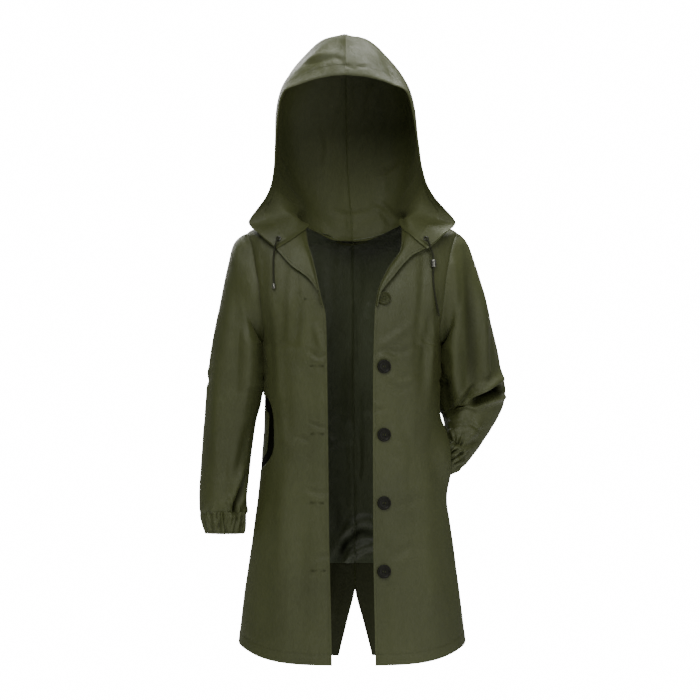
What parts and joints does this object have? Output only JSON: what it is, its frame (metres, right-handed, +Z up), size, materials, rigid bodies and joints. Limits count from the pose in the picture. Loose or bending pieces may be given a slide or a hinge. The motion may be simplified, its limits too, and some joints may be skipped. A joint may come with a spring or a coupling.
{
  "type": "hooded rain jacket",
  "caption": "Knee-length hooded rain jacket with a button front, drawcord hood, side-seam pockets, gathered cuffs and a vented shirt-tail hem, worn open.",
  "frame": {"origin": "middle of the neck ring, at the height of the back neck seam", "axes": "+Z up, the front of the jacket faces -Y, +X is the wearer's left (the viewer's right)"},
  "size_m": [0.5949, 0.27, 1.23],
  "materials": {
    "shell": "waterproof olive weave with a slight satin sheen",
    "lining": "light woven lining",
    "button": "satin",
    "top_button": "satin",
    "cord": "braided",
    "metal": "satin"
  },
  "bodies": {
    "root": {"front_left": "shell", "front_right": "shell", "back_left": "shell", "back_right": "shell", "lining_left": "lining", "lining_right": "lining", "lapel_left": "shell", "lapel_right": "shell", "hood_left": "shell", "hood_right": "shell", "hood_casing_left": "shell", "hood_casing_right": "shell", "pocket_left": "shell", "pocket_right": "shell", "sleeve_left": "shell", "sleeve_right": "shell", "cuff_left": "shell", "cuff_right": "shell", "hang_loop": "cord", "button_1": "top_button", "button_2": "button", "button_3": "button", "button_4": "button", "button_5": "button", "eyelet_left": "metal", "eyelet_right": "metal", "drawcord_left": "cord", "drawcord_right": "cord", "cord_end_right": "metal", "cord_tip_left": "cord"}
  },
  "joints": []
}
